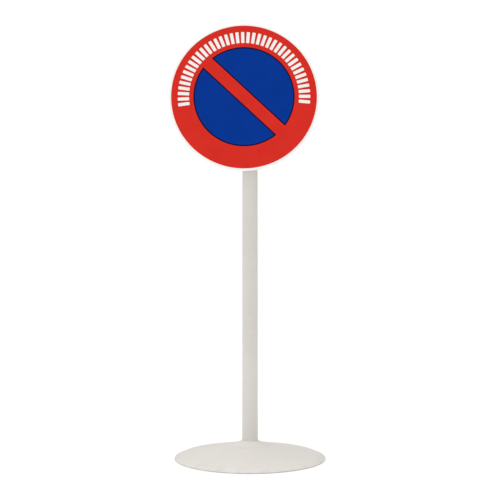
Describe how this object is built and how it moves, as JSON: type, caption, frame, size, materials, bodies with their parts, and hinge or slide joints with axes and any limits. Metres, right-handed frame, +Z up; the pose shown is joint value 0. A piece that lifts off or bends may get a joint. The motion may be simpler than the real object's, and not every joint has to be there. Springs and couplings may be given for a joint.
{
  "type": "signpost with sign",
  "caption": "Free-standing signpost: a round sheet-metal sign clamped by rails and straps to a tubular post on a low, weighted round base.",
  "frame": {"origin": "on the floor under the post's axis, at the middle of the base's rubber mat", "axes": "+Z up along the post; the sign faces -Y; +X to the right seen from the front of the sign"},
  "size_m": [0.463, 0.44, 1.295],
  "materials": {
    "base_paint": "warm off-white powder coat, satin",
    "post_paint": "warm off-white powder coat, satin",
    "sign_white": "white enamel, semi-gloss",
    "sign_red": "red sign film, semi-gloss",
    "sign_blue": "blue sign film, semi-gloss",
    "galvanised": "hot-dip galvanised, dull grey",
    "zinc_plate": "bright zinc plate",
    "ballast_iron": "rough, as cast",
    "mat_rubber": "matt black, studded underneath",
    "cap_plastic": "dark grey moulded plastic, matt"
  },
  "bodies": {
    "base": {"floor_mat": "mat_rubber", "ballast": "ballast_iron", "base_shell": "base_paint", "spigot": "galvanised", "neck_collar": "base_paint", "flange_screw_1": "zinc_plate", "flange_screw_2": "zinc_plate", "flange_screw_3": "zinc_plate", "tie_washer": "zinc_plate", "tie_bolt": "zinc_plate"},
    "post": {"post_tube": "post_paint", "post_cap": "cap_plastic", "post_anchor": "galvanised"},
    "clamps": {"strap_upper": "galvanised", "strap_lower": "galvanised", "bolt_upper_left": "zinc_plate", "bolt_upper_right": "zinc_plate", "bolt_lower_left": "zinc_plate", "bolt_lower_right": "zinc_plate", "washer_upper_left": "zinc_plate", "washer_upper_right": "zinc_plate", "washer_lower_left": "zinc_plate", "washer_lower_right": "zinc_plate", "lock_washer_upper_left": "zinc_plate", "lock_washer_upper_right": "zinc_plate", "lock_washer_lower_left": "zinc_plate", "lock_washer_lower_right": "zinc_plate", "nut_upper_left": "zinc_plate", "nut_upper_right": "zinc_plate", "nut_lower_left": "zinc_plate", "nut_lower_right": "zinc_plate"},
    "sign": {"sign_plate": "sign_white", "red_layer": "sign_red", "blue_layer_upper": "sign_blue", "blue_layer_lower": "sign_blue", "rail_upper": "galvanised", "rail_lower": "galvanised", "rail_cap_upper_left": "cap_plastic", "rail_cap_upper_right": "cap_plastic", "rail_cap_lower_left": "cap_plastic", "rail_cap_lower_right": "cap_plastic"}
  },
  "joints": [
    {"name": "post_swivel", "type": "hinge", "parent": "base", "child": "post", "pos_m": [0, 0, 0.04], "axis": [0, 0, 1], "continuous": true},
    {"name": "sign_height", "type": "slide", "parent": "post", "child": "clamps", "axis": [0, 0, 1], "range_m": [-0.78, 0.02]},
    {"name": "plate_shift", "type": "slide", "parent": "clamps", "child": "sign", "axis": [1, 0, 0], "range_m": [-0.093, 0.129]}
  ]
}
